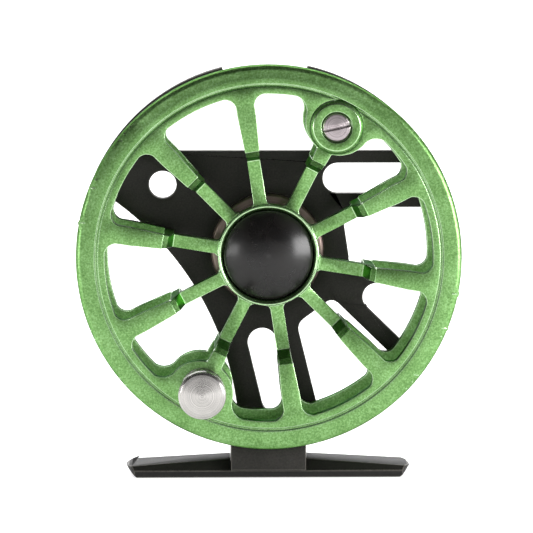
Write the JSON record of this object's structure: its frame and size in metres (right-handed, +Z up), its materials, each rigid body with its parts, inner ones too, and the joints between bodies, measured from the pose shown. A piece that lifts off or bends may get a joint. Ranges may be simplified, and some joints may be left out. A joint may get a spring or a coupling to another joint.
{
  "type": "fly reel",
  "caption": "Fly fishing reel: open-spoked large-arbour spool with side handle on a pierced half frame, sealed disc drag with rear knob, and a foot for the rod's reel seat.",
  "frame": {"origin": "middle of the flat face under the foot", "axes": "+Z up from the foot to the spool axis, +X along the rod, the front of the reel with the handle faces -Y, the spool axis is parallel to Y at Z 50 mm"},
  "size_m": [0.0854, 0.0528, 0.0925],
  "materials": {
    "frame_black": "satin black anodised, fine bead-blasted grain",
    "foot_black": "satin black anodised",
    "green_anodised": "green anodised, satin, fine grain, bright cut edges",
    "cap_black": "gloss black, moulded",
    "knob_silver": "turned and polished, clear anodised",
    "cover_grey": "turned, warm grey anodised",
    "steel": "stainless, turned or ground",
    "screw_dark": "blackened stainless",
    "rubber_black": "black nitrile",
    "carbon_disc": "woven carbon-fibre friction disc",
    "brass": "turned brass",
    "acetal": "natural acetal sleeve"
  },
  "bodies": {
    "frame_body": {"frame": "frame_black", "reel_foot": "foot_black", "foot_screws": "screw_dark", "spindle": "steel", "drag_cover": "cover_grey", "rotor_seal": "rubber_black", "steel_disc": "steel", "pressure_plate": "steel", "spring_washers": "steel", "click_spring": "steel", "detent_spring": "steel", "knob_screw": "steel"},
    "spool_body": {"spool": "green_anodised", "one_way_clutch": "steel", "front_bearing": "steel", "cap_springs": "steel", "counterweight": "green_anodised", "counterweight_screw": "steel", "handle_post": "steel", "handle_collar": "steel"},
    "button": {"spool_cap": "cap_black"},
    "latch": {"latch_plate": "steel"},
    "handle": {"handle_knob": "knob_silver", "handle_bushes": "acetal"},
    "rotor": {"drag_rotor": "steel", "friction_discs": "carbon_disc", "rear_bearing": "steel"},
    "drag_dial": {"drag_knob": "green_anodised", "knob_cap": "cap_black"},
    "thrust": {"thrust_nut": "brass", "thrust_pins": "steel"},
    "click": {"click_ball": "steel"},
    "detent": {"detent_ball": "steel"}
  },
  "joints": [
    {"name": "spool_spin", "type": "hinge", "parent": "frame_body", "child": "spool_body", "pos_m": [0, 0, 0.05], "axis": [0, -1, 0], "continuous": true},
    {"name": "handle_spin", "type": "hinge", "parent": "spool_body", "child": "handle", "pos_m": [-0.01476, -0.02, 0.02116], "axis": [0, -1, 0], "continuous": true},
    {"name": "cap_press", "type": "slide", "parent": "spool_body", "child": "button", "axis": [0, 1, 0], "range_m": [0, 0.0012], "stiffness_N_per_m": 800, "springref_m": -0.002},
    {"name": "latch_slide", "type": "slide", "parent": "spool_body", "child": "latch", "axis": [-1, 0, 0], "range_m": [0, 0.0009]},
    {"name": "rotor_spin", "type": "hinge", "parent": "frame_body", "child": "rotor", "pos_m": [0, 0.008, 0.05], "axis": [0, -1, 0], "continuous": true},
    {"name": "drag_turn", "type": "hinge", "parent": "frame_body", "child": "drag_dial", "pos_m": [0, 0.022, 0.05], "axis": [0, 1, 0], "range_deg": [0, 300]},
    {"name": "thrust_slide", "type": "slide", "parent": "frame_body", "child": "thrust", "axis": [0, -1, 0], "range_m": [0, 0.0009]},
    {"name": "click_slide", "type": "slide", "parent": "frame_body", "child": "click", "axis": [0, -1, 0], "range_m": [0, 0.0004]},
    {"name": "detent_slide", "type": "slide", "parent": "frame_body", "child": "detent", "axis": [0, 1, 0], "range_m": [0, 0.0004]}
  ],
  "couplings": [
    {"joint": "latch_slide", "follows": "cap_press", "ratio": 0.75},
    {"joint": "rotor_spin", "follows": "spool_spin", "ratio": 1},
    {"joint": "thrust_slide", "follows": "drag_turn", "m_per_rad": 0.00015915}
  ]
}
